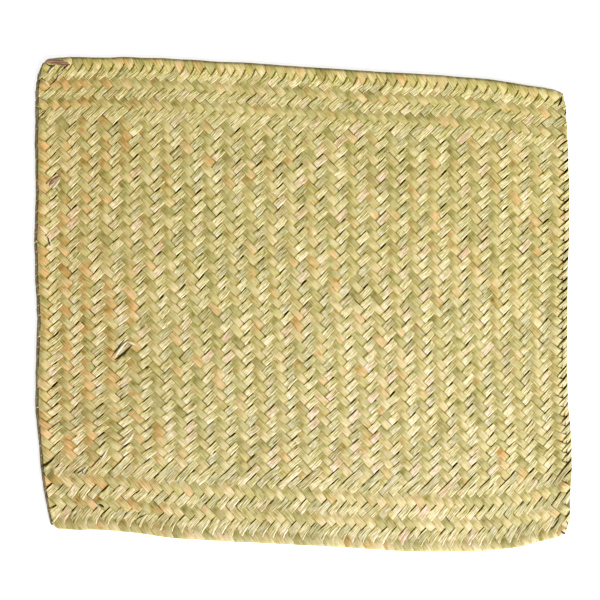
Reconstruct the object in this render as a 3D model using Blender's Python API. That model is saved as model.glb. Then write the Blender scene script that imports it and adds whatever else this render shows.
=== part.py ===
"""A pet mat woven from flat seagrass strips, lying flat, as one closed solid.

Units are metres and +Z is up. +X runs along the mat's long side, +Y along its short side.
The origin is the middle of the mat's footprint, on the surface that the mat lies on.
"""

import math

import bmesh
import bpy
from mathutils import Vector
from mathutils.geometry import delaunay_2d_cdt, interpolate_bezier

# The strips that the mat is woven from, and how thick they make it.
STRIP_WIDTH = 0.0061
FIELD_THICKNESS = 0.0026
RIM_THICKNESS = 0.0038

# Every strip turns back at the rim. A fold is as long as a strip's width cut at 45 degrees.
FOLD_LENGTH = STRIP_WIDTH * math.sqrt(2.0)
FOLD_NOTCH = 0.0006
TURNED_BACK = 1.5 * STRIP_WIDTH

# Low rises and dips that hand weaving leaves in the field.
SWELL_HEIGHT = 0.0003
SWELL_LENGTH_X = 0.17
SWELL_LENGTH_Y = 0.13

# Spacing of the net of points over the field, and its distance from the sides.
NET_STEP = 0.021
NET_MARGIN = 0.075

# The outline seen from above, counterclockwise. The top side slopes down to the right,
# the bottom side bows out, and three of the corners are cut back unequally.
OUTLINE = (
    # side, x, y
    ("bottom", -0.2115, -0.1800),
    ("bottom", -0.2020, -0.1865),
    ("bottom", -0.1525, -0.1885),
    ("bottom", -0.1150, -0.1940),
    ("bottom", -0.0360, -0.1985),
    ("bottom", 0.0300, -0.2020),
    ("bottom", 0.0965, -0.2055),
    ("bottom", 0.1550, -0.2040),
    ("bottom", 0.1965, -0.1965),
    ("bottom", 0.2130, -0.1915),
    ("right", 0.2210, -0.1840),
    ("right", 0.2210, -0.1625),
    ("right", 0.2220, -0.1230),
    ("right", 0.2190, -0.0795),
    ("right", 0.2185, 0.0035),
    ("right", 0.2200, 0.0820),
    ("right", 0.2185, 0.1485),
    ("right", 0.2160, 0.1710),
    ("top", 0.2110, 0.1770),
    ("top", 0.1795, 0.1825),
    ("top", 0.1300, 0.1885),
    ("top", 0.0635, 0.1925),
    ("top", -0.0195, 0.1980),
    ("top", -0.0860, 0.2020),
    ("top", -0.1525, 0.2045),
    ("top", -0.1990, 0.2040),
    ("left", -0.2130, 0.2025),
    ("left", -0.2195, 0.1960),
    ("left", -0.2225, 0.1525),
    ("left", -0.2220, 0.0945),
    ("left", -0.2230, 0.0530),
    ("left", -0.2210, -0.0090),
    ("left", -0.2220, -0.0795),
    ("left", -0.2180, -0.1295),
)

# The rim from the floor up and over to the field. Inset is from the outline, and share is
# how much of a notch between two folds shows at that height.
RIM_PROFILE = (
    # inset, height, share
    (0.0011, 0.0, 0.6),
    (0.0, 0.48 * RIM_THICKNESS, 1.0),
    (0.0015, RIM_THICKNESS, 0.7),
)
CURVE_STEPS = 24


def smooth_outline():
    """A closed smooth curve through the outline's points, as many short straight steps."""
    points = [Vector((x, y)) for side, x, y in OUTLINE]
    count = len(points)
    curve = []
    for number in range(count):
        before = points[number - 1]
        start = points[number]
        end = points[(number + 1) % count]
        after = points[(number + 2) % count]
        reach = (end - start).length / 3.0
        start_handle = start + (end - before).normalized() * reach
        end_handle = end - (after - start).normalized() * reach
        steps = interpolate_bezier(start, start_handle, end_handle, end, CURVE_STEPS + 1)
        curve.extend(Vector(step[:2]) for step in steps[:-1])
    return curve


def evenly_spaced(curve, count):
    """Count points at equal distances along a closed curve."""
    closed = curve + [curve[0]]
    run = [0.0]
    for start, end in zip(closed, closed[1:]):
        run.append(run[-1] + (end - start).length)
    spaced = []
    piece = 0
    for number in range(count):
        target = run[-1] * number / count
        while run[piece + 1] < target:
            piece += 1
        share = (target - run[piece]) / (run[piece + 1] - run[piece])
        spaced.append(closed[piece].lerp(closed[piece + 1], share))
    return spaced


def centred(points):
    """The points moved so that the middle of their box is at the origin."""
    xs = [point.x for point in points]
    ys = [point.y for point in points]
    middle = Vector((min(xs) + max(xs), min(ys) + max(ys))) / 2.0
    return [point - middle for point in points]


def inward_directions(points):
    """At each point of a counterclockwise loop, the unit direction to its inside."""
    directions = []
    for number in range(len(points)):
        along = points[(number + 1) % len(points)] - points[number - 1]
        directions.append(Vector((-along.y, along.x)).normalized())
    return directions


def field_height(x, y):
    """Height of the woven field's top at a place."""
    wave = math.sin(math.tau * x / SWELL_LENGTH_X) * math.cos(math.tau * y / SWELL_LENGTH_Y)
    return FIELD_THICKNESS + SWELL_HEIGHT * wave


def fold_points():
    """Two points for each fold round the rim: its middle, then the notch after it."""
    curve = smooth_outline()
    length = sum((curve[number] - curve[number - 1]).length for number in range(len(curve)))
    folds = round(length / FOLD_LENGTH)
    return centred(evenly_spaced(curve, 2 * folds))


def net_points(hem):
    """Points spread over the field, well inside its hem."""
    low_x = min(point.x for point in hem) + NET_MARGIN / 3.0
    high_x = max(point.x for point in hem) - NET_MARGIN / 3.0
    columns = round((high_x - low_x) / NET_STEP)
    net = []
    for column in range(columns + 1):
        x = low_x + (high_x - low_x) * column / columns
        near = [point.y for point in hem if abs(point.x - x) < NET_MARGIN / 3.0]
        low_y = min(near) + NET_STEP
        high_y = max(near) - NET_STEP
        rows = round((high_y - low_y) / NET_STEP)
        net.extend(Vector((x, low_y + (high_y - low_y) * row / rows)) for row in range(rows + 1))
    return net


def add_ring(mesh, points, inward, inset, height, share):
    """A ring of vertices at one height of the rim. Every second one is in a notch."""
    ring = []
    for number, point in enumerate(points):
        notch = FOLD_NOTCH * share if number % 2 else 0.0
        place = point + inward[number] * (inset + notch)
        ring.append(mesh.verts.new((place.x, place.y, height)))
    return ring


def join_rings(mesh, lower, upper):
    """A band of four-sided faces between two rings of equal count."""
    for number in range(len(lower)):
        after = (number + 1) % len(lower)
        mesh.faces.new((lower[number], lower[after], upper[after], upper[number]))


def join_hem(mesh, crest, hem):
    """A band of triangles from the crest, with two vertices a fold, to the hem with one."""
    for fold in range(len(hem)):
        middle = crest[2 * fold]
        notch = crest[2 * fold + 1]
        next_middle = crest[(2 * fold + 2) % len(crest)]
        near = hem[fold]
        far = hem[(fold + 1) % len(hem)]
        mesh.faces.new((middle, notch, near))
        mesh.faces.new((notch, far, near))
        mesh.faces.new((notch, next_middle, far))


def fill_field(mesh, hem):
    """The uneven field: triangles between the hem and the net of points inside it."""
    border = [vertex.co.to_2d() for vertex in hem]
    net = net_points(border)
    inside_of_border = 1
    places, edges, triangles, origins, *rest = delaunay_2d_cdt(
        border + net, [], [list(range(len(border)))], inside_of_border, 1e-6
    )
    vertices = []
    for place, origin in zip(places, origins):
        if origin and origin[0] < len(hem):
            vertices.append(hem[origin[0]])
        else:
            vertices.append(mesh.verts.new((place.x, place.y, field_height(place.x, place.y))))
    for triangle in triangles:
        mesh.faces.new([vertices[corner] for corner in triangle])


def mat_mesh():
    """The whole mat: flat underside, rounded rim of folds, thinner uneven field."""
    points = fold_points()
    inward = inward_directions(points)
    mesh = bmesh.new()
    rings = [add_ring(mesh, points, inward, *row) for row in RIM_PROFILE]
    mesh.faces.new(reversed(rings[0]))
    for lower, upper in zip(rings, rings[1:]):
        join_rings(mesh, lower, upper)
    hem = []
    for number in range(0, len(points), 2):
        place = points[number] + inward[number] * TURNED_BACK
        hem.append(mesh.verts.new((place.x, place.y, field_height(place.x, place.y))))
    join_hem(mesh, rings[-1], hem)
    fill_field(mesh, hem)
    bmesh.ops.recalc_face_normals(mesh, faces=mesh.faces)
    finished = bpy.data.meshes.new("mat")
    mesh.to_mesh(finished)
    mesh.free()
    return finished


def seagrass_material():
    """Dry straw-coloured leaf with a trace of olive."""
    material = bpy.data.materials.new("seagrass")
    material.use_nodes = True
    shader = material.node_tree.nodes["Principled BSDF"]
    shader.inputs["Base Color"].default_value = (0.60, 0.50, 0.23, 1.0)
    shader.inputs["Roughness"].default_value = 0.62
    shader.inputs["Metallic"].default_value = 0.0
    return material


def build_mat():
    """The mat as one object in its own collection."""
    collection = bpy.data.collections.new("seagrass_pet_mat")
    bpy.context.scene.collection.children.link(collection)
    mat = bpy.data.objects.new("mat", mat_mesh())
    mat.data.materials.append(seagrass_material())
    mat.data.shade_smooth()
    mat.data.set_sharp_from_angle(angle=math.radians(40.0))
    collection.objects.link(mat)
    return mat


for old in list(bpy.data.objects):
    bpy.data.objects.remove(old, do_unlink=True)
build_mat()
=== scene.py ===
# %% [markdown]
# # A pet mat woven from flat seagrass strips
# The real mat is hand woven from leaf strips about 6 mm wide. One set rises to the right, the
# other falls to the right, and at the rim every strip folds over and goes back into the weave.
# The cells below set up the view, write the weave as a rule, let Geometry Nodes lay the strips
# along that rule, and then give the leaf its grain.
# %% The frame that the mat is fitted to
import math
from types import SimpleNamespace

import bmesh
import bpy
import numpy as np
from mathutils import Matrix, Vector
from mathutils.bvhtree import BVHTree


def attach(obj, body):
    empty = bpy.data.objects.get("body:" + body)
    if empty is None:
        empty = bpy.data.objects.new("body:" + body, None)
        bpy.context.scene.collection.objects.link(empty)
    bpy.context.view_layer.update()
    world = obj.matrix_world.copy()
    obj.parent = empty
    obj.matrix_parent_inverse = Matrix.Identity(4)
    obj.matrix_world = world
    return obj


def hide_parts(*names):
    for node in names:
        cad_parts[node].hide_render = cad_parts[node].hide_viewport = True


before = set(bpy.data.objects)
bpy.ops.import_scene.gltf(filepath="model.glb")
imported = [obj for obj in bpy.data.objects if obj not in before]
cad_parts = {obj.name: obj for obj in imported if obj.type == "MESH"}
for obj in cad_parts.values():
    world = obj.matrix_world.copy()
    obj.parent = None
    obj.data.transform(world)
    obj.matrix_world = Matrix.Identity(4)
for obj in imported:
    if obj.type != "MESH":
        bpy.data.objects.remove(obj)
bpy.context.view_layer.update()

# %% [markdown]
# ## The camera
# The photograph looks straight down, with the mat's long side across the picture. A long lens
# from 1.4 m above keeps the rim's sides out of sight, as there.
# %% Camera
VIEW_WIDTH = 0.498
VIEW_MIDDLE = (-0.0029, 0.0033)
LENS = 100.0


def add_object(name, data):
    """An object in the scene that shows a mesh, a camera or a lamp."""
    added = bpy.data.objects.new(name, data)
    bpy.context.scene.collection.objects.link(added)
    return added


def add_camera():
    """A camera that looks straight down and sees VIEW_WIDTH of the floor."""
    data = bpy.data.cameras.new("overhead_camera")
    data.lens = LENS
    camera = add_object("overhead_camera", data)
    height = VIEW_WIDTH * LENS / data.sensor_width
    camera.location = (*VIEW_MIDDLE, height)
    bpy.context.scene.camera = camera
    return height


print("camera height", round(add_camera(), 3))

# %% [markdown]
# ## Floor and light
# The light in the photograph comes from the lower right, so the key lamp stands there. It
# brightens the edges that face it and leaves the slits between the strips dark. The white floor
# glows a little, so that the mat's shadow almost goes.
# %% Floor and lamps
SKY_STRENGTH = 0.30
KEY_POWER = 97.0
KEY_PLACE = (1.36, -1.5, 1.52)
KEY_SIZE = 0.35
FILL_POWER = 7.0
FILL_PLACE = (-0.4, 0.3, 1.9)
FILL_SIZE = 1.2
FLOOR_REACH = 3.0
FLOOR_COLOUR = (0.93, 0.93, 0.93, 1.0)
FLOOR_GLOW = 0.52


def add_lamp(name, place, size, power):
    """A square soft lamp at place that faces the mat."""
    data = bpy.data.lights.new(name, "AREA")
    data.shape = "SQUARE"
    data.size = size
    data.energy = power
    lamp = add_object(name, data)
    lamp.location = place
    lamp.rotation_euler = (-lamp.location).to_track_quat("-Z", "Y").to_euler()


def plain_material(name, looks):
    """A material of even looks, given by the names of the shader's inputs."""
    material = bpy.data.materials.new(name)
    material.use_nodes = True
    for socket, value in looks.items():
        material.node_tree.nodes["Principled BSDF"].inputs[socket].default_value = value
    return material


def add_floor():
    """A wide pale floor under the mat."""
    mesh = bpy.data.meshes.new("floor")
    turns = ((-1, -1), (1, -1), (1, 1), (-1, 1))
    corners = [(right * FLOOR_REACH, up * FLOOR_REACH, 0.0) for right, up in turns]
    mesh.from_pydata(corners, [], [(0, 1, 2, 3)])
    looks = {
        "Base Color": FLOOR_COLOUR,
        "Roughness": 0.9,
        "Specular IOR Level": 0.1,
        "Emission Color": (1.0, 1.0, 1.0, 1.0),
        "Emission Strength": FLOOR_GLOW,
    }
    mesh.materials.append(plain_material("pale_floor", looks))
    add_object("floor", mesh)


def add_sky():
    """Even pale light from all round."""
    world = bpy.data.worlds.new("studio")
    world.use_nodes = True
    background = world.node_tree.nodes["Background"]
    background.inputs["Color"].default_value = (1.0, 1.0, 1.0, 1.0)
    background.inputs["Strength"].default_value = SKY_STRENGTH
    bpy.context.scene.world = world


add_floor()
add_sky()
add_lamp("key_lamp", KEY_PLACE, KEY_SIZE, KEY_POWER)
add_lamp("fill_lamp", FILL_PLACE, FILL_SIZE, FILL_POWER)
bpy.context.scene.view_settings.view_transform = "Standard"

# %% [markdown]
# ## Sums in a node tree
# Geometry Nodes and materials both work with values that change over a mesh. A small class lets
# the sums below be written with + - * and /. Each step still becomes an ordinary Math node.
# %% Sums as nodes


class Varying:
    """A value that changes over the mesh: one output socket of a node."""

    def __init__(self, tree, socket):
        self.tree = tree
        self.socket = socket

    def __add__(self, other):
        return calculate("ADD", self, other)

    def __radd__(self, other):
        return calculate("ADD", other, self)

    def __sub__(self, other):
        return calculate("SUBTRACT", self, other)

    def __rsub__(self, other):
        return calculate("SUBTRACT", other, self)

    def __mul__(self, other):
        return calculate("MULTIPLY", self, other)

    def __rmul__(self, other):
        return calculate("MULTIPLY", other, self)

    def __truediv__(self, other):
        return calculate("DIVIDE", self, other)


def plug(tree, value, socket):
    """A Varying or another socket is linked to the socket, and a plain value is set on it."""
    if isinstance(value, Varying):
        value = value.socket
    if isinstance(value, bpy.types.NodeSocket):
        tree.links.new(value, socket)
    else:
        socket.default_value = value


def add_node(tree, kind, inputs, **settings):
    """A new node with its inputs, given by name or number, and its settings."""
    node = tree.nodes.new(kind)
    for name, value in settings.items():
        setattr(node, name, value)
    for name, value in inputs.items():
        plug(tree, value, node.inputs[name])
    return node


def calculate(operation, *values):
    """One Math node. At least one of the values is a Varying."""
    tree = next(value.tree for value in values if isinstance(value, Varying))
    node = add_node(tree, "ShaderNodeMath", dict(enumerate(values)), operation=operation)
    return Varying(tree, node.outputs[0])


def blend(share, at_zero, at_one):
    """at_zero where share is 0, at_one where it is 1."""
    return at_zero + share * (at_one - at_zero)


def ramp(value, start, end, low=0.0, high=1.0):
    """A smooth step from low at start to high at end."""
    given = dict(enumerate((value, start, end, low, high)))
    node = add_node(value.tree, "ShaderNodeMapRange", given, interpolation_type="SMOOTHSTEP")
    return Varying(value.tree, node.outputs[0])


def drawn_curve(value, points):
    """A value read off a curve that is drawn through given (place, value) points."""
    node = add_node(value.tree, "ShaderNodeFloatCurve", {"Value": value})
    line = node.mapping.curves[0]
    for end in (0, -1):
        line.points[end].location = points[end]
    for place, level in points[1:-1]:
        line.points.new(place, level)
    node.mapping.update()
    return Varying(value.tree, node.outputs[0])


def smooth_noise(x, y, detail=2.0, roughness=0.5):
    """Smooth noise from 0 to 1 over a plane."""
    place = add_node(x.tree, "ShaderNodeCombineXYZ", {"X": x, "Y": y}).outputs[0]
    given = {"Vector": place, "Scale": 1.0, "Detail": detail, "Roughness": roughness}
    node = add_node(x.tree, "ShaderNodeTexNoise", given, noise_dimensions="2D")
    return Varying(x.tree, node.outputs[0])


def wandering(x, y, detail=1.0):
    """Smooth noise from about -1 to 1 over a plane."""
    return (smooth_noise(x, y, detail) - 0.5) * 2.6


def noted(tree, name):
    """A value that was noted on the mesh under that name."""
    node = add_node(tree, "GeometryNodeInputNamedAttribute", {"Name": name})
    return Varying(tree, node.outputs["Attribute"])


def note(tree, geometry, name, value):
    """Notes a value on the points of a geometry under that name."""
    given = {"Geometry": geometry, "Name": name, "Value": value}
    return add_node(tree, "GeometryNodeStoreNamedAttribute", given).outputs["Geometry"]


# %% [markdown]
# ## The weave as a rule
# There are 52 folds at the top and bottom and 45 at the sides, counted in the photograph. Unfold
# a strip at every rim and it is one straight line. So each strip is laid straight, and the mat
# is made by folding the plane: a Ping-Pong node does exactly that. With these counts the whole
# mat is one endless strip. It is cut in two places, both of them under a crossing.
#
# Places are counted in half folds: "across" from the left rim and "up" from the bottom rim. A
# cell is the stretch of a strip from one crossing to the next, one half fold each way.
# %% Counts and sizes
FOLDS_ACROSS = 52
FOLDS_UP = 45
ACROSS = 2 * FOLDS_ACROSS
UP = 2 * FOLDS_UP
ENDLESS_CELLS = math.lcm(2 * ACROSS, 2 * UP)
CELLS_PER_STRIP = ENDLESS_CELLS // 2
START_UP = 1.0
FIRST_CUT = 33
ROWS_PER_CELL = 3
SECTION_POINTS = 6

HALF_FOLD = 0.00434
STRIP_THICKNESS = 0.0009
FIELD_HEIGHT = 0.0026
RIM_HEIGHT = 0.0038
print("cells along each endless strip", CELLS_PER_STRIP)

# %% [markdown]
# In the field the weave makes upright columns: over two, under two, and one step on for each
# strip. Near the top and the bottom rim the weaver turned to level rows, 12 half folds deep.
# %% Which strip is on top
REPEAT = 4.0
LEVEL_ROWS = 12


def rising_on_top(cell_across, cell_up):
    """1 at the crossings where the strip that rises to the right is on top, else 0."""
    from_top = UP - cell_up
    rows_at_top = calculate("GREATER_THAN", calculate("MODULO", from_top, REPEAT), 1.5)
    rows_below = calculate("GREATER_THAN", calculate("MODULO", cell_up, REPEAT), 1.5)
    columns = calculate("LESS_THAN", calculate("MODULO", cell_across + 1.0, REPEAT), 1.5)
    near_bottom = calculate("LESS_THAN", cell_up, LEVEL_ROWS - 0.5)
    near_top = calculate("LESS_THAN", from_top, LEVEL_ROWS - 0.5)
    return blend(near_top, blend(near_bottom, columns, rows_below), rows_at_top)


# %% [markdown]
# A strip doesn't jump from over to under. It stays level over two crossings and dips between
# them, so the height is read at the nearest crossing and at the next one, and blended. The
# rising strips are stiff and dip late, and the falling ones bow all along.
# %% Over and under along a strip
DIP = 0.20
FALLING_BOW = 0.8
RISING_BOW = 0.15


def cell_folded(cell):
    """Where crossing number cell of a strip lies in the mat, in half folds."""
    across = calculate("ROUND", calculate("PINGPONG", cell, float(ACROSS)))
    up = calculate("ROUND", calculate("PINGPONG", cell + START_UP, float(UP)))
    return across, up


def over_or_under(along, direction):
    """1 where a strip is on top, -1 where it is below, and between them in a dip."""
    cell = calculate("FLOOR", along + 0.5)
    beyond = along - cell
    next_cell = cell + calculate("SIGN", beyond)
    here = rising_on_top(*cell_folded(cell)) * 2.0 - 1.0
    there = rising_on_top(*cell_folded(next_cell)) * 2.0 - 1.0
    distance = calculate("ABSOLUTE", beyond)
    bow = blend(direction * 0.5 + 0.5, FALLING_BOW, RISING_BOW)
    share = blend(bow, ramp(distance, 0.5 - DIP, 0.5), ramp(distance, 0.0, 0.5)) * 0.5
    return direction * blend(share, here, there)


# %% [markdown]
# ## The outline
# The mat isn't a true rectangle: the top slopes down to the right, the bottom bows out and the
# left side leans in at its foot. Each side is a drawn curve over its own length, in the
# same places as in the CAD. The columns in the middle also lean a little, as in the photograph.
# %% The four sides, from the bottom or the left
# each pair: share of the side's length, metres to the right or up from the side's FROM value
LEFT_SIDE = (
    (0.0, 0.0125), (0.14, 0.005), (0.27, 0.001), (0.45, 0.002),
    (0.61, 0.0), (0.72, 0.001), (0.87, 0.0005), (1.0, 0.004),
)
RIGHT_SIDE = (
    (0.0, 0.003), (0.075, 0.003), (0.18, 0.004), (0.3, 0.001),
    (0.525, 0.0005), (0.74, 0.002), (0.92, 0.0005), (1.0, -0.002),
)
BOTTOM_SIDE = (
    (0.0, 0.022), (0.02, 0.0195), (0.134, 0.0175), (0.221, 0.012),
    (0.404, 0.0075), (0.557, 0.004), (0.711, 0.0005), (0.847, 0.002),
    (0.943, 0.0095), (1.0, 0.016),
)
TOP_SIDE = (
    (0.0, 0.0275), (0.046, 0.029), (0.153, 0.0295), (0.305, 0.027),
    (0.458, 0.023), (0.649, 0.0175), (0.801, 0.0135), (0.915, 0.0075),
    (1.0, 0.001),
)
# share of the height counted in rows, share measured on the mat
ROW_SPREAD = (
    (0.0, 0.0), (0.0111, 0.0156), (0.06, 0.0685), (0.111, 0.1235),
    (0.3, 0.303), (0.6, 0.600), (0.889, 0.8885), (0.95, 0.9464),
    (0.9889, 0.9827), (1.0, 1.0),
)
# metres to the right for each share of the height, and how much of it for each of the width
LEAN_UP = (
    (0.0, 0.006), (0.1, 0.0085), (0.23, 0.0115), (0.40, 0.0085),
    (0.55, 0.0045), (0.68, 0.0015), (1.0, 0.001),
)
LEAN_ACROSS = (
    (0.0, 0.0), (0.09, 0.3), (0.25, 0.95), (0.6, 1.0),
    (0.72, 0.8), (0.845, 0.5), (0.92, 0.3), (1.0, 0.0),
)
UNEVEN_SCALE = 0.16
UNEVEN_WEAVE = 0.0006
UNEVEN_AT_LEFT = 2.0
LOOSE_SHARE = 0.4
PULL_REACH = 3.2
PULL_FADE = 8.0
RIGHT_PULL = 0.5
CORNER_REACH = 2.6
CORNER_TUCKS = (
    # at the right, at the top, metres that the corner is pulled in
    (False, True, 0.0027),
    (True, True, 0.0012),
    (True, False, 0.0030),
    (False, False, 0.0010),
)
LEFT_FROM = -0.2230
RIGHT_FROM = 0.2180
BOTTOM_FROM = -0.2060
TOP_FROM = 0.1750
DRAWN_RANGE = 0.04


def side_curve(value, points, start):
    """A side's distance from the middle, read off its drawn curve."""
    scaled = [(place, level / DRAWN_RANGE + 0.1) for place, level in points]
    return start + (drawn_curve(value, scaled) - 0.1) * DRAWN_RANGE


def on_the_mat(across, up):
    """The place in metres of a point that is given in half folds."""
    looseness = ramp(across, ACROSS * LOOSE_SHARE, 0.0, 1.0, UNEVEN_AT_LEFT) * UNEVEN_WEAVE
    scaled_across = across * UNEVEN_SCALE
    scaled_up = up * UNEVEN_SCALE
    uneven_x = wandering(scaled_across, scaled_up, 2.0) * looseness
    uneven_y = wandering(scaled_across, scaled_up + 50.0, 2.0) * looseness
    near_right = ramp(float(ACROSS) - across, PULL_REACH, 0.0)
    to_end = calculate("PINGPONG", up, UP / 2.0)
    up = up + near_right * ramp(to_end, 0.0, PULL_FADE) * RIGHT_PULL
    share_across = across / float(ACROSS)
    share_up = drawn_curve(up / float(UP), ROW_SPREAD)
    left = side_curve(share_up, LEFT_SIDE, LEFT_FROM)
    right = side_curve(share_up, RIGHT_SIDE, RIGHT_FROM)
    bottom = side_curve(share_across, BOTTOM_SIDE, BOTTOM_FROM)
    top = side_curve(share_across, TOP_SIDE, TOP_FROM)
    lean = side_curve(share_up, LEAN_UP, 0.0) * drawn_curve(share_across, LEAN_ACROSS)
    x = blend(share_across, left, right) + lean + uneven_x
    y = blend(share_up, bottom, top) + uneven_y
    for at_right, at_top, amount in CORNER_TUCKS:
        from_side = (ACROSS - across) if at_right else across
        from_end = (UP - up) if at_top else up
        tuck = ramp(from_side + from_end, CORNER_REACH, -CORNER_REACH, 0.0, 2.0 * amount)
        x = (x - tuck) if at_right else (x + tuck)
        y = (y - tuck) if at_top else (y + tuck)
    return x, y


# %% [markdown]
# ## The fold at the rim
# A strip that reaches the rim rolls over it in a half circle and comes back on the other level.
# The roll takes up a little length, which the strip gives back over the next crossings.
# %% Rolling over the rim
ROLL_REACH = 0.0024
ROLL_RADIUS = 0.0012
SETTLE = 0.0065


def rolled(straight, span, lift):
    """Folds a place on a straight strip into the mat, and rolls it over the rim.

    Gives the place, how far it is from the rim, how far the strip has turned over there (0 at
    the crease, 1 when it lies flat), and 1 in the left or lower half of the mat, else -1.
    """
    place = calculate("PINGPONG", straight, float(span))
    distance = calculate("PINGPONG", straight, span / 2.0) * HALF_FOLD
    share = calculate("MINIMUM", distance / ROLL_REACH, 1.0)
    turn = calculate("SINE", share * (math.pi / 2.0))
    level = calculate("SQRT", calculate("MAXIMUM", 1.0 - turn * turn, 0.0))
    on_roll = distance - (1.0 - level) * ROLL_RADIUS
    settling = ramp(distance, ROLL_REACH, ROLL_REACH + SETTLE, ROLL_REACH - ROLL_RADIUS, 0.0)
    inset = blend(calculate("GREATER_THAN", distance, ROLL_REACH), on_roll, settling)
    half = calculate("LESS_THAN", place, span / 2.0) * 2.0 - 1.0
    return place - half * ((inset + lift * level) / HALF_FOLD), distance, turn, half


# %% [markdown]
# ## Laying the strips
# The tree sweeps a flat rounded section along a line of points, three for each crossing. That
# gives a closed ribbon, and one Set Position node moves each of its points to its place in the
# weave. Rows of points next to a fold are slanted, so that a row lies exactly on the crease.
# %% The section and the slant
SECTION_ROUNDNESS = 0.22
SLANT_REACH = 3.0


def rounded(value):
    """Pushes a circle's points out towards a flat box with round corners."""
    size = calculate("POWER", calculate("ABSOLUTE", value), SECTION_ROUNDNESS)
    return calculate("SIGN", value) * size * 0.5


def slant(along):
    """1 next to a fold at the sides, -1 next to one at the top or bottom, 0 in the field."""
    to_side = calculate("PINGPONG", along, ACROSS / 2.0)
    to_end = calculate("PINGPONG", along + START_UP, UP / 2.0)
    nearest = calculate("MINIMUM", to_side, to_end)
    reach = calculate("MINIMUM", (SLANT_REACH - nearest) / (SLANT_REACH - 1.0), 1.0)
    reach = calculate("MAXIMUM", reach, 0.0)
    return reach * (to_end - to_side) / (to_end + to_side)


# %% The sweep: closed ribbons with their numbers noted on them


def numbered_ribbon(tree, group_input):
    """A closed ribbon that knows its rows and its place in the section."""
    given = group_input.outputs
    line = add_node(tree, "GeometryNodeMeshLine", {"Count": given["Rows"]})
    curve = add_node(tree, "GeometryNodeMeshToCurve", {0: line.outputs[0]})
    index = Varying(tree, add_node(tree, "GeometryNodeInputIndex", {}).outputs[0])
    rows = note(tree, curve.outputs[0], "row", index + Varying(tree, given["First Row"]))
    points = {"Resolution": given["Section Points"]}
    section = add_node(tree, "GeometryNodeCurvePrimitiveCircle", points)
    position = add_node(tree, "GeometryNodeInputPosition", {})
    place = add_node(tree, "ShaderNodeSeparateXYZ", {0: position.outputs[0]})
    profile = note(tree, section.outputs[0], "ring", index)
    profile = note(tree, profile, "side", rounded(Varying(tree, place.outputs["X"])))
    profile = note(tree, profile, "depth", rounded(Varying(tree, place.outputs["Y"])))
    parts = {"Curve": rows, "Profile Curve": profile, "Fill Caps": True}
    return add_node(tree, "GeometryNodeCurveToMesh", parts).outputs[0]


# %% [markdown]
# No two strips are alike. Along each one the width changes a little, and it drifts sideways.
# Falling strips are wider than rising ones, all are narrower at the right rim and fuller at the
# top and the bottom, and a strip is wider where it runs under another one, so that no floor
# shows through. Widths and drifts are shares of the strips' spacing.
# %% Width and drift of a strip
RISING_WIDTH = 0.98
FALLING_WIDTH = 1.07
WIDTH_CHANGE = 0.20
RIM_GAP = 0.14
FULL_ROWS = 0.10
WIDER_BELOW = 0.14
DRIFT = 0.13
FALLING_SHIFT = 0.06


def odd_span(value, span):
    """1 on every second stretch of that length, else 0."""
    return calculate("FLOORED_MODULO", calculate("FLOOR", value / float(span)), 2.0)


def turned_over(from_left, from_bottom):
    """1 where the folds so far have turned a strip over, else 0."""
    folds = calculate("FLOOR", from_left / float(ACROSS))
    folds = folds + calculate("FLOOR", from_bottom / float(UP))
    return calculate("FLOORED_MODULO", folds, 2.0)


def strip_width(along, rising, seed):
    """How wide a strip is at a place along it."""
    from_right = ACROSS - calculate("PINGPONG", along, float(ACROSS))
    from_end = calculate("PINGPONG", along + START_UP, UP / 2.0)
    level = over_or_under(along, rising * 2.0 - 1.0)
    width = blend(rising, FALLING_WIDTH, RISING_WIDTH)
    width = width + wandering(along * 0.33, seed, 2.0) * WIDTH_CHANGE
    width = width - ramp(from_right, 3.0, 0.5, 0.0, RIM_GAP)
    width = width + ramp(from_end, 4.0, 1.5, 0.0, FULL_ROWS)
    return width + ramp(level, 0.3, -0.7, 0.0, WIDER_BELOW)


def strip_drift(along, rising, seed):
    """How far a strip lies beside its own line."""
    drift = wandering(along * 0.17, seed + 11.0) * DRIFT
    leftward = odd_span(along, ACROSS)
    return drift + (1.0 - rising) * (leftward * 2.0 - 1.0) * FALLING_SHIFT


# %% [markdown]
# The mat is thicker at its rim, where each strip lies on itself. In the field a strip lies a
# little higher or lower over each crossing, and leans to one side.
# %% Height of a strip
TILT = 0.0005
UNEVEN_HEIGHT = 0.00015
FIELD_REACH = 0.0005
RIM_BAND = (0.004, 0.016)


def strip_height(along, side, outward, level, nearest, seed):
    """Height of the mat's middle at a place, and how far above it a point of a strip lies."""
    thinner = ramp(nearest, *RIM_BAND)
    middle = blend(thinner, RIM_HEIGHT / 2.0, FIELD_HEIGHT / 2.0)
    reach = blend(thinner, (RIM_HEIGHT - STRIP_THICKNESS) / 2.0, FIELD_REACH)
    tilt = wandering(along * 0.31, seed + 23.0) * TILT * side
    uneven = wandering(along * 0.9, seed + 29.0) * UNEVEN_HEIGHT
    return middle, level * reach + outward + (tilt + uneven) * thinner
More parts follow.
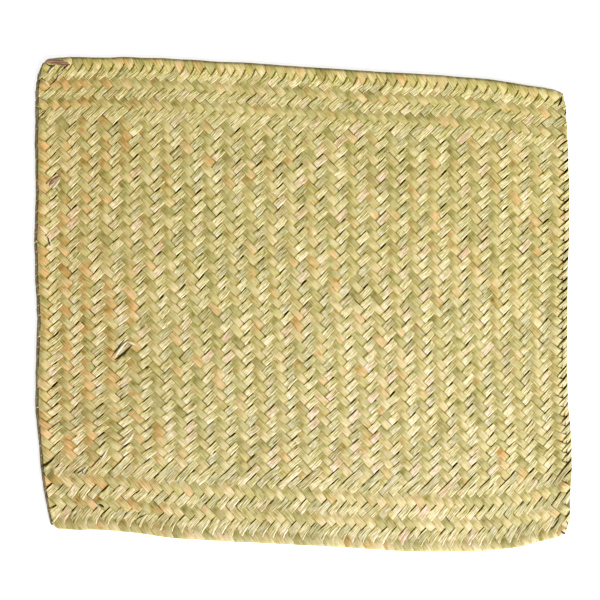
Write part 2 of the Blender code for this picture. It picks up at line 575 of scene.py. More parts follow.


# %% [markdown]
# Mostly at the left, the leaf is stained orange here and there where a falling strip is on top.
# The stains are placed where the photograph shows them.
# %% Stains
STAINS = (
    # millimetres to the right, millimetres up, reach in millimetres
    (-194.9, -114.8, 4.6), (-191.1, -124.8, 4.6), (-176.1, -112.6, 4.2), (-173.9, -134.7, 4.0),
    (-172.2, -144.7, 4.0), (-154.0, -135.9, 4.4), (-170.6, -151.3, 3.6), (-155.0, -159.1, 4.2),
    (-141.3, -166.8, 4.6), (-118.5, -111.5, 4.6), (-134.0, -149.2, 3.8), (-117.4, -167.9, 4.6),
    (-124.1, -183.4, 4.8), (-198.2, 184.3, 4.6), (-182.8, 183.7, 4.6), (-181.6, 167.7, 4.6),
    (-183.8, 152.1, 4.4), (-166.2, 152.1, 4.4), (-145.1, 133.4, 4.8), (-161.7, 134.5, 4.0),
    (-212.6, 128.9, 4.0), (-189.4, 124.5, 4.4), (-182.8, 118.9, 4.2), (-150.6, 199.8, 4.4),
    (-210.4, 24.9, 4.4), (-194.9, 29.3, 4.2), (-181.6, 29.3, 4.2), (-162.8, 14.9, 4.6),
    (-194.9, 11.6, 4.2), (-196.1, -5.0, 4.2), (-179.4, -2.7, 4.4), (-161.7, -5.0, 4.6),
    (-142.9, -3.9, 4.6), (-144.0, -13.9, 4.4), (-179.4, -21.6, 4.6), (-211.5, -21.6, 4.4),
    (-193.8, -38.2, 4.6), (-161.7, -39.3, 4.4), (-144.0, -51.5, 4.4), (-25.3, 9.1, 4.8),
    (-2.9, -10.8, 4.4), (-42.7, 26.6, 4.2), (9.5, 32.4, 4.2), (26.1, 17.4, 4.2),
    (-39.4, -19.1, 4.2), (163.4, -124.2, 4.2), (183.0, -141.7, 4.2), (215.4, -149.2, 4.2),
)
STAIN_PEAK = 1.6


def stains_at(x, y):
    """1 at the places in STAINS, 0 elsewhere."""
    to_diagonal = math.sqrt(0.5)
    total = 0.0
    for right, up, reach in STAINS:
        across = (x + y) * (1000.0 * to_diagonal) - (right + up) * to_diagonal
        along = (x - y) * (1000.0 * to_diagonal) - (right - up) * to_diagonal
        distance = calculate("MAXIMUM", across * across, along * along * 0.5)
        total = calculate("MAXIMUM", total, ramp(distance, reach * reach, 0.0, 0.0, STAIN_PEAK))
    return calculate("MINIMUM", total, 1.0)


# %% [markdown]
# The leaf's colour depends on how a point lies in the weave, so that is noted on the mesh: which
# face of the leaf is up, how open the point is to the air, how far to the right it lies on its
# strip, whether a stretch on top ends near it, and how far away the left and the top rim are.
# %% Notes for the leaf
LOOK_ALONG = 0.7
LIT_EDGE = 0.9
FAR = 99.0


def leaf_notes(along, side, depth, direction, level, from_left):
    """What the weave says about a point of a strip."""
    to_the_right = 1.0 - 2.0 * odd_span(from_left, ACROSS)
    behind = over_or_under(along - to_the_right * LOOK_ALONG, direction)
    ahead = over_or_under(along + to_the_right * LOOK_ALONG, direction)
    face_up = direction * depth * 2.0
    east = side * 2.0 * to_the_right
    is_edge = 1.0 - calculate("ABSOLUTE", face_up)
    lit_edge = ramp(east, -0.5, 0.5, 0.0, LIT_EDGE)
    return {
        "along": along,
        "open": level * (face_up + is_edge * lit_edge),
        "face": depth * 2.0,
        "east": east,
        "west_end": (level - behind) * level,
        "east_end": (level - ahead) * level,
    }


def rim_notes(to_side, to_end, left_half, lower_half):
    """Millimetres to the left rim, to the top rim, and to the nearer of top and bottom."""
    return {
        "to_left_rim": blend((left_half + 1.0) * 0.5, FAR, to_side * 1000.0),
        "to_top_rim": blend((1.0 - lower_half) * 0.5, FAR, to_end * 1000.0),
        "to_rim_row": to_end * 1000.0,
    }


# %% [markdown]
# Every point of the straight ribbon is folded into the mat, rolled over the rim, put on the
# crooked outline and lifted to its height.
# %% Where every point goes


def strip_place(tree, seed):
    """The place of every point of the ribbons, and what the leaf needs to know there."""
    side = noted(tree, "side")
    depth = noted(tree, "depth")
    along = noted(tree, "row") / float(ROWS_PER_CELL)
    rising = 1.0 - turned_over(along, along + START_UP)
    lateral = side * strip_width(along, rising, seed) + strip_drift(along, rising, seed)
    slanted = slant(along)
    from_left = along + lateral * (1.0 - slanted)
    from_bottom = along + START_UP - lateral * (1.0 + slanted)
    own_along = along - lateral * slanted
    direction = 1.0 - 2.0 * turned_over(from_left, from_bottom)
    level = over_or_under(own_along, direction)
    outward = depth * STRIP_THICKNESS * direction

    across, to_side, side_turn, left_half = rolled(from_left, ACROSS, outward * level)
    up, to_end, end_turn, lower_half = rolled(from_bottom, UP, outward * level)
    x, y = on_the_mat(across, up)
    nearest = calculate("MINIMUM", to_side, to_end)
    middle, height = strip_height(along, side, outward, level, nearest, seed)
    z = middle + height * (side_turn * end_turn)
    notes = leaf_notes(own_along, side, depth, direction, level, from_left)
    notes["stain"] = stains_at(x, y) * (1.0 - direction) * 0.5
    notes.update(rim_notes(to_side, to_end, left_half, lower_half))
    return x, y, z, notes


# %% The whole tree


def weaving_tree():
    """The Geometry Nodes tree that lays closed ribbons into the weave."""
    tree = bpy.data.node_groups.new("woven_strips", "GeometryNodeTree")
    tree.interface.new_socket("Geometry", in_out="OUTPUT", socket_type="NodeSocketGeometry")
    for name, value in (
        ("Rows", CELLS_PER_STRIP * ROWS_PER_CELL + 1),
        ("Section Points", SECTION_POINTS),
        ("First Row", FIRST_CUT * ROWS_PER_CELL),
        ("Seed", 5),
    ):
        socket = tree.interface.new_socket(name, in_out="INPUT", socket_type="NodeSocketInt")
        socket.default_value = value
    tree.interface.new_socket("Material", in_out="INPUT", socket_type="NodeSocketMaterial")
    group_input = tree.nodes.new("NodeGroupInput")
    ribbon = numbered_ribbon(tree, group_input)
    x, y, z, notes = strip_place(tree, Varying(tree, group_input.outputs["Seed"]))
    for name, value in notes.items():
        ribbon = note(tree, ribbon, name, value)
    place = add_node(tree, "ShaderNodeCombineXYZ", {"X": x, "Y": y, "Z": z}).outputs[0]
    moved = add_node(tree, "GeometryNodeSetPosition", {"Geometry": ribbon, "Position": place})
    between_rows = calculate("FRACT", noted(tree, "row"))
    edges = {
        "Geometry": moved.outputs[0],
        "Selection": calculate("GREATER_THAN", between_rows, 0.25),
        "Shade Smooth": False,
    }
    sharp = add_node(tree, "GeometryNodeSetShadeSmooth", edges, domain="EDGE")
    real = add_node(tree, "GeometryNodeRealizeInstances", {0: sharp.outputs[0]})
    given = {"Geometry": real.outputs[0], "Material": group_input.outputs["Material"]}
    finish = add_node(tree, "GeometryNodeSetMaterial", given)
    add_node(tree, "NodeGroupOutput", {0: finish.outputs[0]})
    return tree


# %% [markdown]
# ## The leaf
# Dry seagrass is straw-coloured with olive, tan and a little pink, and each leaf keeps its tint
# over a long way. Folding turns the leaf over: the rising strips show its pale ribbed back, the
# falling ones its smooth yellow front. The grain follows each strip round its folds.
# %% Leaf grain, as a shader group
LEAF_CELLS = 61.0
# changes along the leaf for each cell, and across it for each width
SLOW_CHANGE = (0.13, 5.3)
VEINS = (0.16, 8.5)
FIBRES = (1.1, 12.75)
PATCHES = (0.37, 0.6)
SPOTS = (1.1, 1.6)
WIDE_BLUSH = (0.38, 0.4)
STREAKED_BLUSH = (0.3, 3.0)
BREAKS = (0.5, 0.2)


def noise_on(x, y, scales, detail=2.0):
    """Smooth noise from 0 to 1, with a scale of its own each way."""
    return smooth_noise(x * scales[0], y * scales[1], detail)


def one_of_many(number):
    """A different value from 0 to 1 for each whole number."""
    node = add_node(number.tree, "ShaderNodeTexWhiteNoise", {"W": number}, noise_dimensions="1D")
    return Varying(number.tree, node.outputs["Value"])


def leaf_grain_group():
    """Tint, lines, patches and breaks of a leaf, from where a point is along and across it."""
    tree = bpy.data.node_groups.new("leaf_grain", "ShaderNodeTree")
    for name in ("Along", "Across", "Seed"):
        tree.interface.new_socket(name, in_out="INPUT", socket_type="NodeSocketFloat")
    for name in ("Tint", "Lines", "Shade", "Blush", "Breaks"):
        tree.interface.new_socket(name, in_out="OUTPUT", socket_type="NodeSocketFloat")
    given = tree.nodes.new("NodeGroupInput")
    along = Varying(tree, given.outputs["Along"])
    seed = Varying(tree, given.outputs["Seed"])
    leaf = calculate("FLOOR", along / LEAF_CELLS + seed)
    across = Varying(tree, given.outputs["Across"]) + leaf * 3.7
    own = one_of_many(leaf)
    slow = noise_on(along, leaf, SLOW_CHANGE)
    veins = noise_on(along, across, VEINS, 1.0)
    fibres = noise_on(along, across, FIBRES, 1.0)
    patches = noise_on(along, across, PATCHES)
    spots = noise_on(along, across, SPOTS)
    blush = noise_on(along + 37.0, across, WIDE_BLUSH, 1.0)
    lines = ramp(veins, 0.36, 0.46, -1.3, 0.0) + ramp(veins, 0.56, 0.66, 0.0, 0.6)
    results = {
        "Tint": own * 0.55 + (slow - 0.5) * 1.6 + 0.22,
        "Lines": lines + (fibres - 0.5) * 5.2,
        "Shade": (own - 0.5) * 0.5 + (patches - 0.5) * 2.0 + (spots - 0.5) * 0.8,
        "Blush": blush * 0.85 + noise_on(along, across, STREAKED_BLUSH) * 0.3,
        "Breaks": noise_on(along + 11.0, across, BREAKS, 1.0),
    }
    add_node(tree, "NodeGroupOutput", results)
    return tree


# %% [markdown]
# The tints are listed: straw, khaki, olive, tan, orange-tan and a pinkish one. One ramp
# is for the pale back of the leaf and one for its yellow front.
# %% Leaf tints
BACK_TINTS = (
    (0.00, (0.50, 0.42, 0.19)),
    (0.22, (0.54, 0.49, 0.24)),
    (0.40, (0.62, 0.54, 0.24)),
    (0.55, (0.65, 0.55, 0.26)),
    (0.70, (0.58, 0.51, 0.21)),
    (0.85, (0.63, 0.51, 0.27)),
    (1.00, (0.62, 0.46, 0.24)),
)
FRONT_TINTS = (
    (0.00, (0.43, 0.36, 0.14)),
    (0.22, (0.50, 0.44, 0.18)),
    (0.40, (0.57, 0.49, 0.21)),
    (0.55, (0.61, 0.49, 0.22)),
    (0.70, (0.53, 0.46, 0.17)),
    (0.85, (0.60, 0.46, 0.20)),
    (1.00, (0.58, 0.41, 0.16)),
)
BLUSH = (0.63, 0.37, 0.13)
STAIN_STRENGTH = 0.6


def tint_ramp(tree, value, tints):
    """A colour read off a row of charted tints."""
    node = add_node(tree, "ShaderNodeValToRGB", {"Fac": value})
    elements = node.color_ramp.elements
    for place, _ in tints[1:-1]:
        elements.new(place)
    for element, (_, colour) in zip(elements, tints):
        element.color = (*colour, 1.0)
    return node.outputs["Color"]


def mixed(tree, share, first, second, mode="MIX"):
    """Two colours mixed. Each is an output socket or three numbers."""
    first, second = (
        (*colour, 1.0) if isinstance(colour, tuple) else colour for colour in (first, second)
    )
    given = {"Factor": share, "A": first, "B": second}
    node = add_node(tree, "ShaderNodeMix", given, data_type="RGBA", blend_type=mode)
    return node.outputs["Result"]


def leaf_tint(tree, spot, tint, blush):
    """The leaf's own colour: more orange at the left of the mat and on the stains."""
    front = tint_ramp(tree, tint, FRONT_TINTS)
    back = tint_ramp(tree, tint, BACK_TINTS)
    blush = ramp(blush, 0.66 - spot.at_left * 0.12, 0.84 - spot.at_left * 0.12)
    blush = blush * blend(spot.back, 0.7, 0.22) + spot.at_left * 0.07
    blush = blush + spot.stain * STAIN_STRENGTH
    return mixed(tree, blush, mixed(tree, spot.back, front, back), BLUSH)


# %% [markdown]
# The material reads what the weaving noted. The foot of a rising strip is the left end of its
# stretch on top, and its head is the right end. The level rows near the top and the bottom of
# the mat have less light and shade in them than the columns of the field.
# %% What the material reads at a point of the leaf
TO_ROWS = (54.0, 48.0)
TO_TOP_ROW = (9.0, 6.0)


def attribute(tree, name):
    """A value that the weaving noted on the mesh."""
    node = add_node(tree, "ShaderNodeAttribute", {}, attribute_name=name)
    return Varying(tree, node.outputs["Fac"])


def place_on_mat(tree):
    """How far to the right and how far up a point lies, in metres."""
    place = add_node(tree, "ShaderNodeTexCoord", {}).outputs["Object"]
    node = add_node(tree, "ShaderNodeSeparateXYZ", {0: place})
    return Varying(tree, node.outputs["X"]), Varying(tree, node.outputs["Y"])


def leaf_spot(tree):
    """All that is known about a point of the leaf."""
    names = ("along", "side", "open", "east", "west_end", "stain", "to_left_rim", "to_top_rim")
    spot = SimpleNamespace(**{name: attribute(tree, name) for name in names})
    spot.right, spot.up = place_on_mat(tree)
    spot.back = ramp(attribute(tree, "face"), -0.2, 0.2)
    spot.at_left = ramp(spot.right, -0.07, -0.20)
    spot.at_foot = ramp(spot.west_end, 0.3, 1.5) * spot.back
    spot.at_head = ramp(attribute(tree, "east_end"), 0.2, 1.8) * spot.back
    spot.in_rows = ramp(attribute(tree, "to_rim_row"), *TO_ROWS)
    spot.in_top_rows = ramp(spot.to_top_rim, *TO_ROWS)
    spot.in_top_row = ramp(spot.to_top_rim, *TO_TOP_ROW) * 0.6
    return spot


# %% [markdown]
# Ribs and patches make the leaf lighter or darker. The lamps alone leave a mat this flat too
# even, so the light at the ends of its strips is in the colour too: a rising strip is brightest
# at its foot and its lower right edge, and a falling strip is darkest at its upper left end.
# %% Light and shade on a strip
LINE_CONTRAST = 0.30
FRONT_RIBS = 0.45
SHADE_CONTRAST = 0.27
FRONT_PATCHES = 1.35
EDGE_LIGHT = 0.16
END_SHADE = 0.24
FOOT_LIGHT = 0.14
FOOT_LIGHT_IN_ROWS = -0.03
HEAD_SHADE = 0.10
HEAD_SHADE_IN_ROWS = 0.01
LEFT_SHADE = 0.05
TOP_ROW_SHADE = 0.14
MIDDLE_LIGHT = 0.045
SLIT_SHADOW_BROWNING = 0.5


def leaf_light(spot, lines, shade):
    """How light the leaf is, about 1 on average."""
    # painted light and shade: lighter in the middle of the mat, darker at its left and along the top
    # row
    in_middle = ramp(spot.right, -0.05, 0.03) * ramp(spot.right, 0.20, 0.12)
    in_middle = in_middle * ramp(spot.up, 0.09, 0.0)
    light = 1.0 + lines * LINE_CONTRAST
    light = light + shade * SHADE_CONTRAST * blend(spot.back, FRONT_PATCHES, 1.0)
    light = light + ramp(spot.east, 0.72, 0.9) * spot.back * EDGE_LIGHT
    light = light + in_middle * MIDDLE_LIGHT - spot.at_left * LEFT_SHADE
    light = light - ramp(spot.west_end, 0.1, 1.6) * (1.0 - spot.back) * END_SHADE
    light = light - ramp(spot.to_top_rim, 5.5, 2.5) * TOP_ROW_SHADE
    light = light + spot.at_foot * blend(spot.in_rows, FOOT_LIGHT, FOOT_LIGHT_IN_ROWS)
    return light - spot.at_head * blend(spot.in_rows, HEAD_SHADE, HEAD_SHADE_IN_ROWS)


def leaf_paleness(spot, breaks):
    """How pale the leaf is: paler low on the mat, and browner beside a slit, as part of the painted
    slit shadow.
    """
    near_slit = ramp(spot.east, -0.55, -0.70) * ramp(breaks, 0.30, 0.45)
    near_slit = near_slit * blend(spot.back, 0.5, 1.0)
    paleness = ramp(spot.up, 0.15, -0.19, 1.0, 1.13) * (1.0 - near_slit * SLIT_SHADOW_BROWNING)
    return paleness * blend(spot.back, 1.0, 0.95)


def shading(tree, light, paleness):
    """A factor for a colour that also makes it browner where it is darker."""
    channels = {0: light, 1: light, 2: light * light * paleness}
    return add_node(tree, "ShaderNodeCombineColor", channels).outputs[0]


# %% [markdown]
# Along the upper left side of each strip the photograph shows a slit, broken here and there and
# too thin for the mesh, so its shadow is painted. Where a strip dives it is painted browner, as
# shade, and where it faces another strip it is painted nearly black, as the shade between the
# layers. The left rim, and more faintly the top rim, shows its shaded side as a painted grey-brown
# band, with a painted dark line of shadow along the left one.
# %% Painted shade between the strips and at the rim
# painted shade colours: deep shadow for slits and between layers, the shade of a dive, the rim's
# shaded side
PAINTED_DEEP_SHADE = (0.032, 0.014, 0.0)
PAINTED_DIVE_SHADE = (0.21, 0.145, 0.025)
RIM_SHADE = (0.14, 0.115, 0.08)
FRONT_SLIT = 0.22


def slit_share(spot, breaks):
    """How much painted slit shadow there is at a point."""
    slit = ramp(spot.east, -0.70, -0.77) * ramp(breaks, 0.36, 0.50) * (1.0 - spot.at_foot * 0.7)
    slit = slit * (1.0 - spot.in_top_row) * (1.0 - spot.in_top_rows * 0.5)
    return slit * blend(spot.back, FRONT_SLIT, 1.0)


def darkened(tree, colour, spot, breaks, slit):
    """The colour with painted shade below other strips, painted shadow in the slits and painted shade
    at the rim.
    """
    spared_front = ramp(spot.west_end, 1.2, 0.3) * blend(spot.in_rows, 0.5, 0.85)
    spared = blend(spot.back, spared_front, ramp(spot.west_end, 0.2, 0.8) * 0.9)
    # painted shade where a strip dives under another one, spared at some ends
    dive_shade = ramp(spot.open, 0.6, -0.1, 0.0, 0.75) * (1.0 - spared) * (1.0 - spot.in_top_row)
    # painted near-black shade where a strip faces another one between the layers
    below = ramp(spot.open, 0.2, -0.3) * (1.0 - spot.in_top_row * 0.5)
    # painted shade on the rim's shaded side, and a painted dark line of shadow along the left rim
    rim = ramp(spot.to_left_rim, 3.3, 2.8) + ramp(spot.to_top_rim, 2.6, 1.8) * 0.5
    rim_shadow_line = ramp(spot.to_left_rim, 4.0, 3.6) * ramp(spot.to_left_rim, 2.8, 3.2)
    rim_shadow_line = rim_shadow_line * ramp(breaks, 0.36, 0.46)
    for share, dark in (
        (dive_shade, PAINTED_DIVE_SHADE),
        (below, PAINTED_DEEP_SHADE),
        (slit, PAINTED_DEEP_SHADE),
        (rim * 0.75, RIM_SHADE),
        (rim_shadow_line * 0.85, PAINTED_DEEP_SHADE),
    ):
        colour = mixed(tree, share, colour, dark)
    return colour


# %% Leaf material
LEAF_SEED = 0.37
FRONT_ROUGHNESS = 0.52
BACK_ROUGHNESS = 0.68
SHINE = 0.35
RIB_DEPTH = 0.0004
RIB_STRENGTH = 0.55


def leaf_material(grain_tree):
    """Dry seagrass leaf, pale and ribbed on its back, smooth and yellow on its front."""
    material = bpy.data.materials.new("seagrass_leaf")
    material.use_nodes = True
    tree = material.node_tree
    spot = leaf_spot(tree)
    given = {"Along": spot.along, "Across": spot.side, "Seed": LEAF_SEED}
    grain = add_node(tree, "ShaderNodeGroup", given, node_tree=grain_tree)
    tint, lines, shade, blush, breaks = (Varying(tree, socket) for socket in grain.outputs)
    lines = lines * blend(spot.back, FRONT_RIBS, 1.0)
    slit = slit_share(spot, breaks)
    light = shading(tree, leaf_light(spot, lines, shade), leaf_paleness(spot, breaks))
    colour = mixed(tree, 1.0, leaf_tint(tree, spot, tint, blush), light, "MULTIPLY")
    bump = {"Strength": RIB_STRENGTH, "Distance": RIB_DEPTH, "Height": lines}
    looks = {
        "Base Color": darkened(tree, colour, spot, breaks, slit),
        "Roughness": blend(spot.back, FRONT_ROUGHNESS, BACK_ROUGHNESS),
        "Specular IOR Level": ramp(spot.open, 0.2, 0.8, 0.0, SHINE) * (1.0 - slit),
        "Normal": add_node(tree, "ShaderNodeBump", bump).outputs[0],
    }
    for name, value in looks.items():
        plug(tree, value, tree.nodes["Principled BSDF"].inputs[name])
    return material


# %% [markdown]
# ## Weaving
# The tree runs once for each half of the endless strip, and the result becomes a plain mesh.
# %% Weave the two halves


def plain_mesh(name, tree, inputs):
    """Runs a Geometry Nodes tree on an empty object and keeps the result as a plain mesh."""
    carrier = add_object(name + "_carrier", bpy.data.meshes.new(name + "_carrier"))
    modifier = carrier.modifiers.new("nodes", "NODES")
    modifier.node_group = tree
    for item in tree.interface.items_tree:
        if item.item_type == "SOCKET" and item.name in inputs:
            modifier[item.identifier] = inputs[item.name]
    evaluated = carrier.evaluated_get(bpy.context.evaluated_depsgraph_get())
    mesh = bpy.data.meshes.new_from_object(evaluated)
    mesh.name = name
    piece = add_object(name, mesh)
    bpy.data.objects.remove(carrier, do_unlink=True)
    return piece


leaf = leaf_material(leaf_grain_group())
weaving = weaving_tree()
woven = []
for number, name in enumerate(("first_strips", "second_strips")):
    first_row = (FIRST_CUT + number * CELLS_PER_STRIP) * ROWS_PER_CELL
    piece = plain_mesh(name, weaving, {"First Row": first_row, "Material": leaf})
    woven.append(piece)
    count = sum(len(face.vertices) - 2 for face in piece.data.polygons)
    print(name, "triangles", count, "attributes", [a.name for a in piece.data.attributes])

# %% [markdown]
# ## A flat pattern of the strips
# Laid out flat, each half is a ribbon 28 m long. Cut into 47 equal lengths and stacked, it fills
# a square, so the grain can be painted on it later without two places sharing a spot.
# %% Lay the strips out flat
LANES = 47
LANE_FILL = 0.94
BAKE_MAP = "OFBake"


def read_all(items, name, kind):
    """One value of every item, as an array."""
    values = np.empty(len(items), kind)
    items.foreach_get(name, values)
    return values


def girth_shares(rings, sides, depths):
    """How far round the section each of its points is, as a share of its whole girth."""
    girth = [0.0]
    for number in range(SECTION_POINTS):
        here = int(np.flatnonzero(rings == number)[0])
        there = int(np.flatnonzero(rings == (number + 1) % SECTION_POINTS)[0])
        step_across = (sides[there] - sides[here]) * HALF_FOLD * math.sqrt(2.0)
        step_down = (depths[there] - depths[here]) * STRIP_THICKNESS
        girth.append(girth[-1] + math.hypot(step_across, step_down))
    return np.array(girth) / girth[-1]


def lay_out_flat(piece, first_row):
    """A map for the piece in which every face has a place of its own."""
    mesh = piece.data
    rows, rings, sides, depths = (
        read_all(mesh.attributes[name].data, "value", np.float32)
        for name in ("row", "ring", "side", "depth")
    )
    corners = read_all(mesh.loops, "vertex_index", np.int32)
    starts = read_all(mesh.polygons, "loop_start", np.int32)
    sizes = np.diff(np.append(starts, len(corners)))
    row = rows[corners] - first_row
    ring = rings[corners]
    first, last, lowest, highest = (
        np.repeat(extreme.reduceat(values, starts), sizes)
        for values in (row, ring)
        for extreme in (np.minimum, np.maximum)
    )
    is_cap = first == last
    ring = np.where((ring == 0) & (highest - lowest > 1.5) & ~is_cap, SECTION_POINTS, ring)
    shares = girth_shares(rings, sides, depths)
    round_share = np.interp(ring, np.arange(SECTION_POINTS + 1), shares)
    total = CELLS_PER_STRIP * ROWS_PER_CELL
    lane_rows = math.ceil((total + 6) / LANES)
    lane = np.floor(first / lane_rows)
    u = (row - lane * lane_rows) / lane_rows
    v = (lane + 0.5 + (round_share - 0.5) * LANE_FILL) / LANES
    # the two end caps lie in the room that the last lane leaves over
    spare = total - (LANES - 1) * lane_rows
    cap_middle = spare + np.where(first > 0, 4.0, 2.0)
    side = sides[corners]
    depth = depths[corners]
    u = np.where(is_cap, (cap_middle + side) / lane_rows, u)
    v = np.where(is_cap, (LANES - 0.5 + depth * 0.5) / LANES, v)
    flat = mesh.uv_layers.new(name=BAKE_MAP)
    flat.data.foreach_set("uv", np.stack([u, v], 1).astype(np.float32).ravel())
    print(piece.name, "lanes used", int(lane.max()) + 1, "u", u.min(), u.max(), "v", v.min(), v.max())


for number, piece in enumerate(woven):
    lay_out_flat(piece, (FIRST_CUT + number * CELLS_PER_STRIP) * ROWS_PER_CELL)

# %% [markdown]
# ## Split and lifted leaves
# Here and there a leaf has split or curled up and shows a cream edge, two reddish strips lie at
# the upper left, and a few cracks are open. Each is a thin tapered splinter on the weave, along
# a short bent path given in a table. A crack is too narrow to cut, so the shade in it is painted
# as a dark splinter too.
# %% Splinters of leaf, and painted shadows in cracks
CREAM_SPLINTERS = (
    # points in millimetres, width, height above the weave at the two ends
    (((-156.5, -44.6), (-152.0, -37.5), (-145.6, -30.7)), 2.0, 0.1, 0.9),
    (((-145.4, -31.0), (-142.3, -32.4), (-139.3, -33.8)), 1.5, 0.9, 0.3),
    (((-219.6, 65.6), (-216.0, 62.4), (-212.0, 57.3)), 1.5, 0.3, 0.5),
    (((-210.8, 54.0), (-209.4, 51.2), (-207.9, 47.0)), 1.3, 0.3, 0.3),
    (((-201.6, 104.0), (-204.6, 99.4), (-208.3, 95.7)), 1.6, 0.3, 0.5),
    (((-140.7, -106.9), (-144.5, -112.2), (-149.2, -116.6)), 2.0, 0.4, 0.3),
    (((-213.9, 185.5), (-212.3, 183.2), (-210.4, 181.3)), 1.0, 0.3, 0.3),
    (((-211.2, 190.5), (-208.8, 194.2), (-205.4, 196.6)), 1.0, 0.3, 0.3),
    (((213.6, -186.6), (214.8, -187.6), (215.9, -189.0)), 1.0, 0.4, 0.3),
    (((-170.0, -132.6), (-165.0, -125.0), (-161.2, -118.1)), 1.2, 0.3, 0.3),
    (((-173.9, -163.5), (-170.6, -167.7), (-167.7, -171.0)), 0.7, 0.3, 0.3),
)
# painted shadows: dark splinters that lie in open cracks, where there is only shade
CRACK_SHADOWS = (
    (((-156.7, -46.4), (-149.5, -41.3), (-141.9, -33.9)), 1.9, 0.1, 0.2),
    (((-159.8, -45.1), (-153.5, -36.0), (-147.4, -28.3)), 0.8, 0.1, 0.1),
    (((-211.8, 56.4), (-211.2, 52.0), (-209.7, 47.7)), 0.9, 0.1, 0.1),
    (((-205.8, 96.3), (-204.0, 94.3), (-202.9, 91.9)), 0.7, 0.1, 0.1),
    (((-146.7, -116.2), (-148.9, -118.3), (-150.6, -120.8)), 0.8, 0.1, 0.1),
    (((-213.3, 199.4), (-209.3, 197.0), (-205.2, 198.2)), 1.1, 0.2, 0.2),
    (((-200.3, 192.7), (-197.0, 196.2), (-193.6, 198.6)), 1.2, 0.1, 0.2),
    (((-203.0, 190.0), (-206.0, 185.0), (-210.4, 181.2)), 1.1, 0.1, 0.1),
    (((214.0, 172.0), (212.9, 167.6), (210.6, 163.4)), 1.7, 0.2, 0.1),
    (((217.6, 160.3), (217.0, 158.2), (215.6, 156.3)), 1.1, 0.2, 0.1),
    (((213.4, -188.0), (215.6, -189.8), (217.4, -190.2)), 1.9, 0.2, 0.2),
    (((217.3, -179.8), (218.3, -181.0), (218.9, -182.8)), 0.9, 0.1, 0.1),
    (((211.9, -176.4), (208.8, -182.6), (204.4, -187.0)), 1.0, 0.1, 0.1),
    (((-188.2, -140.3), (-184.0, -138.2), (-180.5, -134.7)), 1.0, 0.1, 0.1),
    (((-183.8, -137.0), (-183.2, -139.0), (-182.2, -141.4)), 0.7, 0.1, 0.1),
    (((-182.2, -141.4), (-180.2, -139.4), (-178.3, -137.0)), 0.7, 0.1, 0.1),
    (((-169.8, -166.0), (-167.4, -167.0), (-165.2, -168.8)), 2.0, 0.1, 0.1),
    (((-138.4, -177.9), (-134.2, -176.2), (-129.6, -173.5)), 0.8, 0.1, 0.1),
)
RED_SPLINTERS = (
    (((-214.0, 201.0), (-204.5, 200.6), (-193.5, 197.8)), 4.6, 0.1, 0.05),
    (((-202.6, 105.9), (-207.6, 102.0), (-210.8, 97.4)), 3.0, 0.2, 0.2),
)
RED_VEINS = (120.0, 900.0)
SPLINTER_STEPS = 12
SPLINTER_THICKNESS = 0.00025
SPLINTER_ARCH = 0.16


def weave_surface():
    """A search tree over the woven strips, to find their top at a place."""
    places = []
    faces = []
    for piece in woven:
        start = len(places)
        places.extend(vertex.co.copy() for vertex in piece.data.vertices)
        faces.extend([start + corner for corner in face.vertices] for face in piece.data.polygons)
    return BVHTree.FromPolygons(places, faces)


def top_at(surface, x, y):
    """Height of the weave at a place."""
    hit = surface.ray_cast(Vector((x, y, 0.02)), Vector((0.0, 0.0, -1.0)))[0]
    return hit.z if hit else 0.0015


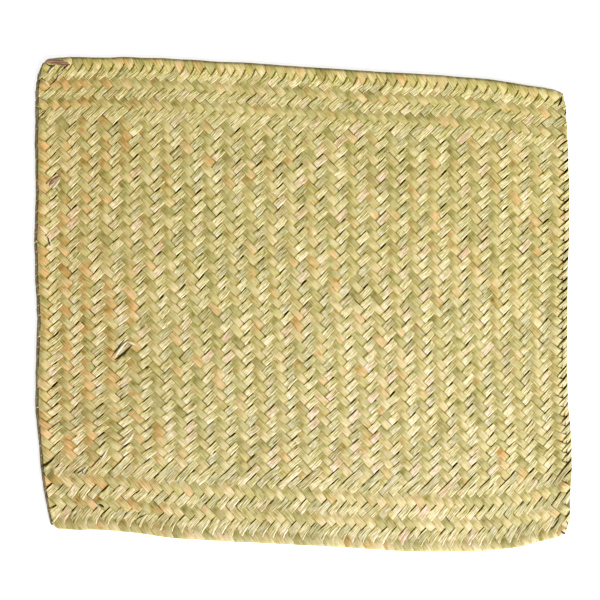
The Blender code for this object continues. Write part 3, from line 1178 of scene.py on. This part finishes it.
def splinter(surface, points, width, start_lift, end_lift):
    """Places and faces of one tapered splinter along a bent path; some are leaf, some painted crack
    shadow.
    """
    start, middle, end = (Vector(point) / 1000.0 for point in points)
    handle = middle * 2.0 - (start + end) / 2.0
    places = []
    for step in range(SPLINTER_STEPS + 1):
        t = step / SPLINTER_STEPS
        spot = start * (1.0 - t) ** 2 + handle * 2.0 * t * (1.0 - t) + end * t**2
        ahead = (handle - start) * (1.0 - t) + (end - handle) * t
        aside = Vector((-ahead.y, ahead.x)).normalized()
        half = width / 2000.0 * (0.12 + 0.88 * math.sin(math.pi * t) ** 0.6)
        spots = [spot + aside * half, spot, spot - aside * half]
        rest = max(top_at(surface, each.x, each.y) for each in spots)
        height = rest + (start_lift + (end_lift - start_lift) * t) / 1000.0
        arch = half * SPLINTER_ARCH
        levels = (height, height + arch + SPLINTER_THICKNESS, height, height + arch)
        for each, level in zip((spots[0], spot, spots[2], spot), levels):
            places.append((each.x, each.y, level))
    faces = [(0, 1, 2, 3)]
    for step in range(SPLINTER_STEPS):
        for corner in range(4):
            here = 4 * step + corner
            there = 4 * step + (corner + 1) % 4
            faces.append((here, here + 4, there + 4, there))
    last = 4 * SPLINTER_STEPS
    faces.append((last + 3, last + 2, last + 1, last))
    return places, faces


def splinter_piece(name, surface, rows, material):
    """All splinters of one colour as one piece."""
    places = []
    faces = []
    for points, width, start_lift, end_lift in rows:
        own_places, own_faces = splinter(surface, points, width, start_lift, end_lift)
        faces.extend([len(places) + corner for corner in face] for face in own_faces)
        places.extend(own_places)
    mesh = bpy.data.meshes.new(name)
    mesh.from_pydata(places, [], faces)
    fixed = bmesh.new()
    fixed.from_mesh(mesh)
    bmesh.ops.recalc_face_normals(fixed, faces=fixed.faces)
    fixed.to_mesh(mesh)
    fixed.free()
    mesh.materials.append(material)
    return add_object(name, mesh)


def one_colour_material(name, colour, roughness):
    """A material of one colour, for leaf that is too small to show grain and for the painted shadow
    in a crack.
    """
    looks = {"Base Color": (*colour, 1.0), "Roughness": roughness, "Specular IOR Level": 0.25}
    return plain_material(name, looks)


def veined_leaf(name, dark_tint, light_tint):
    """Leaf whose veins run along the mat's long side."""
    material = one_colour_material(name, light_tint, 0.7)
    tree = material.node_tree
    veins = ramp(noise_on(*place_on_mat(tree), RED_VEINS), 0.35, 0.65)
    colour = mixed(tree, veins, dark_tint, light_tint)
    tree.links.new(colour, tree.nodes["Principled BSDF"].inputs["Base Color"])
    return material


surface = weave_surface()
cream = one_colour_material("cream_leaf_edge", (0.72, 0.66, 0.46), 0.6)
dark = one_colour_material("painted_crack_shadow", (0.03, 0.02, 0.006), 0.9)
red = veined_leaf("red_brown_leaf", (0.13, 0.065, 0.035), (0.36, 0.20, 0.13))
loose = [
    splinter_piece("cream_splinters", surface, CREAM_SPLINTERS, cream),
    splinter_piece("crack_shadow_splinters", surface, CRACK_SHADOWS, dark),
    splinter_piece("red_splinters", surface, RED_SPLINTERS, red),
]
print("splinter pieces", [piece.name for piece in loose])

for piece in woven + loose:
    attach(piece, "root")
    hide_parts("mat")
